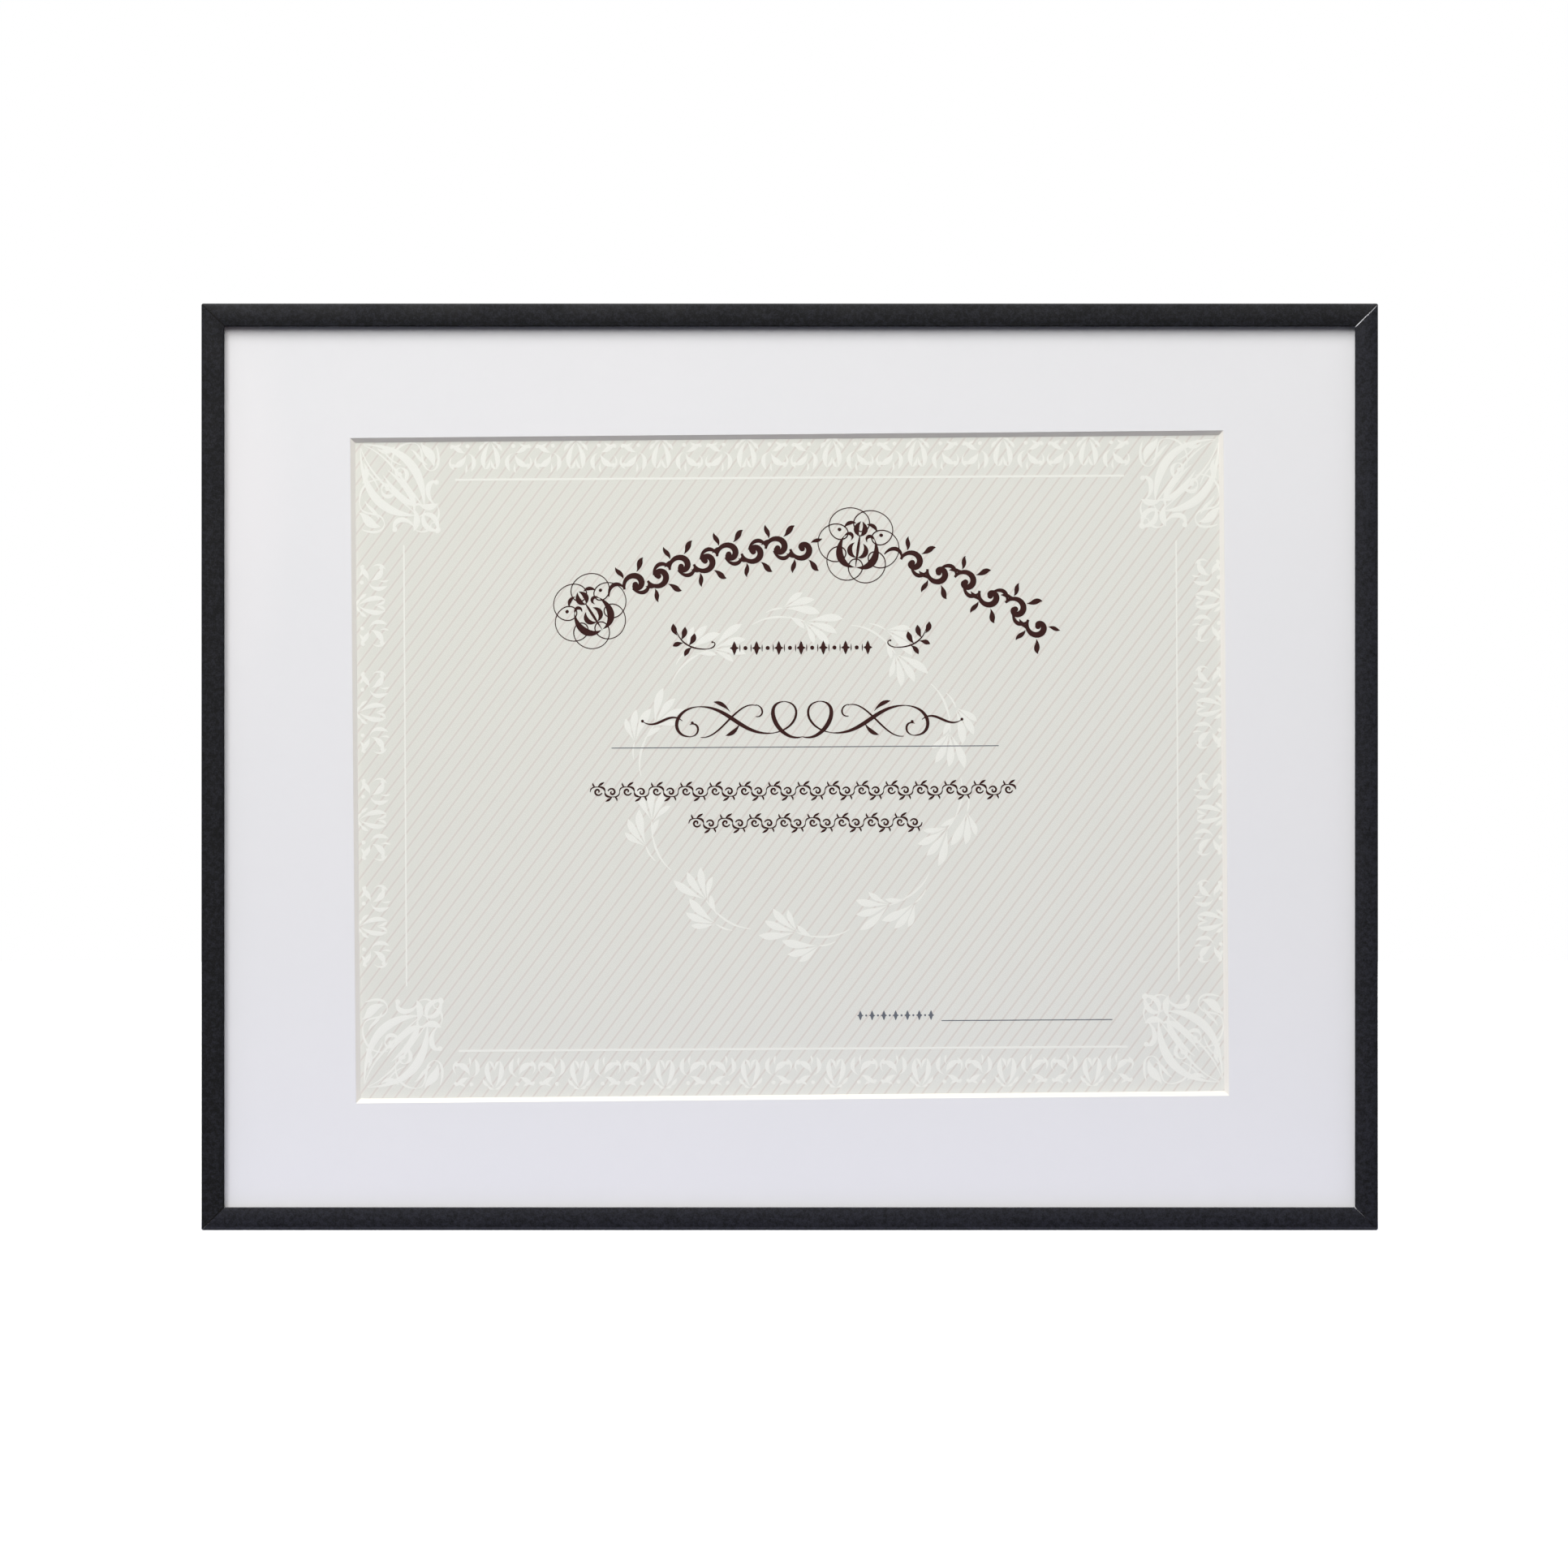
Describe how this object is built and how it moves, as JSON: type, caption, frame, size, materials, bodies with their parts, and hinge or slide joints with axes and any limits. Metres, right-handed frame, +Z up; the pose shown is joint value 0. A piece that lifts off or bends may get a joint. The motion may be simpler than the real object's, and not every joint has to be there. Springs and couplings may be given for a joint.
{
  "type": "certificate frame",
  "caption": "Landscape wall frame of slim mitred black metal rails with glass, a bevelled window mat and a certificate, opened by sliding off one side rail.",
  "frame": {"origin": "centre of the frame in the plane of the wall that the four rear bumpers rest on", "axes": "+X to the right seen from the front, +Z up, +Y into the wall, so the glass faces -Y"},
  "size_m": [0.3588, 0.0225, 0.2826],
  "materials": {
    "black_powder_coat": "fine-texture satin black powder coat on aluminium",
    "clear_glass": "clear float glass, polished",
    "mat_board": "matte off-white mat board with a cream core",
    "certificate_paper": "matte pale grey-green paper with a fine printed stripe",
    "print_white": "matte off-white printing ink on paper",
    "print_maroon": "matte dark maroon printing ink on paper",
    "hinge_paper": "matte gummed paper tape",
    "mount_card": "matte mount card",
    "hardboard": "smooth-faced brown hardboard",
    "zinc_plate": "bright zinc-plated pressed steel",
    "screw_steel": "plain machined steel",
    "spring_steel": "satin blued spring steel",
    "hanger_nickel": "satin nickel-plated steel",
    "bumper_rubber": "matte black rubber"
  },
  "bodies": {
    "frame": {"top_rail": "black_powder_coat", "bottom_rail": "black_powder_coat", "left_rail": "black_powder_coat", "glass_pane": "clear_glass", "window_mat": "mat_board", "certificate_sheet": "certificate_paper", "hinge_tapes": "hinge_paper", "mount_board": "mount_card", "backing_board": "hardboard", "corner_key_top_left": "zinc_plate", "backup_plate_top_left": "zinc_plate", "corner_screws_top_left": "screw_steel", "wall_bumper_top_left": "bumper_rubber", "wall_bumper_top_right": "bumper_rubber", "corner_key_bottom_left": "zinc_plate", "backup_plate_bottom_left": "zinc_plate", "corner_screws_bottom_left": "screw_steel", "wall_bumper_bottom_left": "bumper_rubber", "wall_bumper_bottom_right": "bumper_rubber", "spring_clip_top_left": "spring_steel", "spring_clip_top_right": "spring_steel", "spring_clip_bottom_left": "spring_steel", "spring_clip_bottom_right": "spring_steel", "spring_clip_left_upper": "spring_steel", "spring_clip_left_lower": "spring_steel", "spring_clip_right_upper": "spring_steel", "spring_clip_right_lower": "spring_steel"},
    "right_side": {"right_rail": "black_powder_coat", "corner_key_top_right": "zinc_plate", "backup_plate_top_right": "zinc_plate", "corner_screws_top_right": "screw_steel", "corner_key_bottom_right": "zinc_plate", "backup_plate_bottom_right": "zinc_plate", "corner_screws_bottom_right": "screw_steel"},
    "left_hanger": {"hanger_base_left": "hanger_nickel", "hanger_screw_left": "screw_steel", "hanger_pin_left": "screw_steel"},
    "left_eye": {"hanger_eye_left": "hanger_nickel"},
    "right_hanger": {"hanger_base_right": "hanger_nickel", "hanger_screw_right": "screw_steel", "hanger_pin_right": "screw_steel"},
    "right_eye": {"hanger_eye_right": "hanger_nickel"}
  },
  "joints": [
    {"name": "side_rail_pull", "type": "slide", "parent": "frame", "child": "right_side", "axis": [1, 0, 0], "range_m": [0, 0.045]},
    {"name": "left_hanger_slide", "type": "slide", "parent": "frame", "child": "left_hanger", "axis": [0, 0, 1], "range_m": [-0.172, 0.032]},
    {"name": "right_hanger_slide", "type": "slide", "parent": "right_side", "child": "right_hanger", "axis": [0, 0, 1], "range_m": [-0.172, 0.032]},
    {"name": "left_eye_swing", "type": "hinge", "parent": "left_hanger", "child": "left_eye", "pos_m": [-0.167, -0.0025, 0.07], "axis": [0, 0, 1], "range_deg": [-30, 135]},
    {"name": "right_eye_swing", "type": "hinge", "parent": "right_hanger", "child": "right_eye", "pos_m": [0.167, -0.0025, 0.07], "axis": [0, 0, -1], "range_deg": [-30, 135]}
  ]
}
